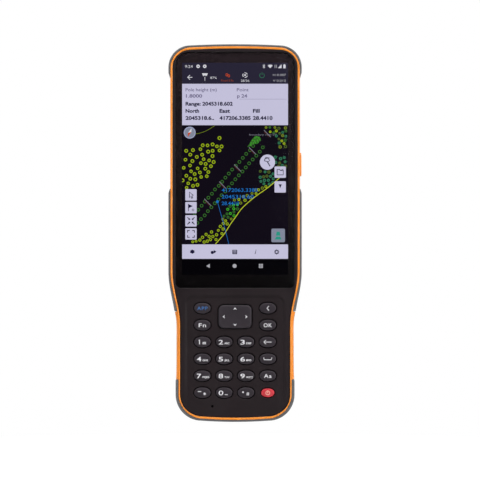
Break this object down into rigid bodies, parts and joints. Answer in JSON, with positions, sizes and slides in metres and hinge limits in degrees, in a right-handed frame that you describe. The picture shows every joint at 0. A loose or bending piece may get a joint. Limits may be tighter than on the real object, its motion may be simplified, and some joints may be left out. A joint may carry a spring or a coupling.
{
  "type": "data collector",
  "caption": "Rugged handheld data collector: upright touch display above an oval-key numeric keypad, orange rim band, grey rubber bumpers, removable battery door.",
  "frame": {"origin": "centre of the body", "axes": "+Z along the length towards the display end, -Y out of the display, +X to the right of a person facing the display"},
  "size_m": [0.0786, 0.0185, 0.2226],
  "materials": {
    "housing_plastic": "fine moulded grain, satin",
    "orange_plastic": "satin moulded plastic",
    "bumper_rubber": "matt soft-touch rubber",
    "seal_rubber": "matt silicone",
    "flap_rubber": "matt rubber",
    "cover_glass": "polished, black printed border",
    "adhesive": "black tape",
    "display": "display cell",
    "magnesium": "die-cast",
    "circuit_board": "solder mask",
    "tin_plate": "tin-plated sheet",
    "ceramic_patch": "ceramic with a silvered face",
    "dome_film": "polyester film with steel domes",
    "silicone_mat": "translucent grey silicone",
    "key_plastic": "satin hard coat, white legends",
    "power_key_plastic": "satin hard coat, red",
    "steel": "machined steel",
    "black_screw": "black oxide",
    "brass": "machined brass",
    "battery_wrap": "plastic case",
    "black_plastic": "moulded black plastic",
    "camera_glass": "coated lens window",
    "led": "phosphor and clear lens"
  },
  "bodies": {
    "root": {"front_housing": "housing_plastic", "rim_band": "orange_plastic", "top_bumper": "bumper_rubber", "left_bumper": "bumper_rubber", "right_bumper": "bumper_rubber", "bottom_bumper": "bumper_rubber", "rear_cover": "housing_plastic", "housing_seal": "seal_rubber", "cover_glass": "cover_glass", "glass_adhesive": "adhesive", "lcd_module": "display", "chassis_plate": "magnesium", "main_board": "circuit_board", "board_shields": "tin_plate", "card_socket": "tin_plate", "gnss_antenna": "ceramic_patch", "keypad_board": "circuit_board", "dome_sheet": "dome_film", "keypad_mat": "silicone_mat", "side_switch": "black_plastic", "battery_connector": "brass", "housing_screws": "black_screw", "strap_inserts": "brass", "camera_module": "black_plastic", "camera_window": "camera_glass", "flash_led": "led", "speaker": "black_plastic", "speaker_mesh": "steel", "microphone": "tin_plate", "usb_connector": "tin_plate"},
    "battery_door": {"battery_door": "housing_plastic", "door_gasket": "seal_rubber"},
    "battery": {"battery_pack": "battery_wrap"},
    "door_screw_top": {"door_screw_top": "steel"},
    "door_screw_bottom": {"door_screw_bottom": "steel"},
    "dpad_pivot": {"dpad_pivot": "steel"},
    "dpad_cap": {"dpad_cap": "key_plastic"},
    "side_button": {"side_button": "orange_plastic"},
    "charge_flap": {"charge_flap": "flap_rubber"},
    "key_app": {"key_app": "key_plastic"},
    "key_back": {"key_back": "key_plastic"},
    "key_fn": {"key_fn": "key_plastic"},
    "key_ok": {"key_ok": "key_plastic"},
    "key_1": {"key_1": "key_plastic"},
    "key_2": {"key_2": "key_plastic"},
    "key_3": {"key_3": "key_plastic"},
    "key_4": {"key_4": "key_plastic"},
    "key_5": {"key_5": "key_plastic"},
    "key_6": {"key_6": "key_plastic"},
    "key_7": {"key_7": "key_plastic"},
    "key_8": {"key_8": "key_plastic"},
    "key_9": {"key_9": "key_plastic"},
    "key_0": {"key_0": "key_plastic"},
    "key_star": {"key_star": "key_plastic"},
    "key_hash": {"key_hash": "key_plastic"},
    "key_delete": {"key_delete": "key_plastic"},
    "key_space": {"key_space": "key_plastic"},
    "key_shift": {"key_shift": "key_plastic"},
    "key_power": {"key_power": "power_key_plastic"}
  },
  "joints": [
    {"name": "battery_door_lift", "type": "slide", "parent": "root", "child": "battery_door", "axis": [0, 1, 0], "range_m": [0, 0.03]},
    {"name": "battery_lift", "type": "slide", "parent": "root", "child": "battery", "axis": [0, 1, 0], "range_m": [0, 0.015]},
    {"name": "charge_flap_swing", "type": "hinge", "parent": "root", "child": "charge_flap", "pos_m": [-0.009, -0.0018, -0.11073], "axis": [0, 1, 0], "range_deg": [0, 90]},
    {"name": "door_screw_bottom_turn", "type": "hinge", "parent": "battery_door", "child": "door_screw_bottom", "pos_m": [0, 0.008, -0.0896], "axis": [0, 1, 0], "continuous": true},
    {"name": "door_screw_top_turn", "type": "hinge", "parent": "battery_door", "child": "door_screw_top", "pos_m": [0, 0.008, -0.0004], "axis": [0, 1, 0], "continuous": true},
    {"name": "dpad_tilt_up", "type": "hinge", "parent": "root", "child": "dpad_pivot", "pos_m": [0, -0.0055, -0.0493], "axis": [1, 0, 0], "range_deg": [-3.5, 3.5]},
    {"name": "dpad_tilt_side", "type": "hinge", "parent": "dpad_pivot", "child": "dpad_cap", "pos_m": [0, -0.0055, -0.0493], "axis": [0, 0, 1], "range_deg": [-2.5, 2.5]},
    {"name": "side_button_press", "type": "slide", "parent": "root", "child": "side_button", "axis": [-1, 0, 0], "range_m": [0, 0.0005], "stiffness_N_per_m": 40},
    {"name": "key_app_press", "type": "slide", "parent": "root", "child": "key_app", "axis": [0, 1, 0], "range_m": [0, 0.0006], "stiffness_N_per_m": 40},
    {"name": "key_back_press", "type": "slide", "parent": "root", "child": "key_back", "axis": [0, 1, 0], "range_m": [0, 0.0006], "stiffness_N_per_m": 40},
    {"name": "key_fn_press", "type": "slide", "parent": "root", "child": "key_fn", "axis": [0, 1, 0], "range_m": [0, 0.0006], "stiffness_N_per_m": 40},
    {"name": "key_ok_press", "type": "slide", "parent": "root", "child": "key_ok", "axis": [0, 1, 0], "range_m": [0, 0.0006], "stiffness_N_per_m": 40},
    {"name": "key_1_press", "type": "slide", "parent": "root", "child": "key_1", "axis": [0, 1, 0], "range_m": [0, 0.0006], "stiffness_N_per_m": 40},
    {"name": "key_2_press", "type": "slide", "parent": "root", "child": "key_2", "axis": [0, 1, 0], "range_m": [0, 0.0006], "stiffness_N_per_m": 40},
    {"name": "key_3_press", "type": "slide", "parent": "root", "child": "key_3", "axis": [0, 1, 0], "range_m": [0, 0.0006], "stiffness_N_per_m": 40},
    {"name": "key_4_press", "type": "slide", "parent": "root", "child": "key_4", "axis": [0, 1, 0], "range_m": [0, 0.0006], "stiffness_N_per_m": 40},
    {"name": "key_5_press", "type": "slide", "parent": "root", "child": "key_5", "axis": [0, 1, 0], "range_m": [0, 0.0006], "stiffness_N_per_m": 40},
    {"name": "key_6_press", "type": "slide", "parent": "root", "child": "key_6", "axis": [0, 1, 0], "range_m": [0, 0.0006], "stiffness_N_per_m": 40},
    {"name": "key_7_press", "type": "slide", "parent": "root", "child": "key_7", "axis": [0, 1, 0], "range_m": [0, 0.0006], "stiffness_N_per_m": 40},
    {"name": "key_8_press", "type": "slide", "parent": "root", "child": "key_8", "axis": [0, 1, 0], "range_m": [0, 0.0006], "stiffness_N_per_m": 40},
    {"name": "key_9_press", "type": "slide", "parent": "root", "child": "key_9", "axis": [0, 1, 0], "range_m": [0, 0.0006], "stiffness_N_per_m": 40},
    {"name": "key_0_press", "type": "slide", "parent": "root", "child": "key_0", "axis": [0, 1, 0], "range_m": [0, 0.0006], "stiffness_N_per_m": 40},
    {"name": "key_star_press", "type": "slide", "parent": "root", "child": "key_star", "axis": [0, 1, 0], "range_m": [0, 0.0006], "stiffness_N_per_m": 40},
    {"name": "key_hash_press", "type": "slide", "parent": "root", "child": "key_hash", "axis": [0, 1, 0], "range_m": [0, 0.0006], "stiffness_N_per_m": 40},
    {"name": "key_delete_press", "type": "slide", "parent": "root", "child": "key_delete", "axis": [0, 1, 0], "range_m": [0, 0.0006], "stiffness_N_per_m": 40},
    {"name": "key_space_press", "type": "slide", "parent": "root", "child": "key_space", "axis": [0, 1, 0], "range_m": [0, 0.0006], "stiffness_N_per_m": 40},
    {"name": "key_shift_press", "type": "slide", "parent": "root", "child": "key_shift", "axis": [0, 1, 0], "range_m": [0, 0.0006], "stiffness_N_per_m": 40},
    {"name": "key_power_press", "type": "slide", "parent": "root", "child": "key_power", "axis": [0, 1, 0], "range_m": [0, 0.0006], "stiffness_N_per_m": 40}
  ],
  "couplings": [
    {"joint": "battery_lift", "follows": "battery_door_lift", "ratio": 0.5}
  ]
}
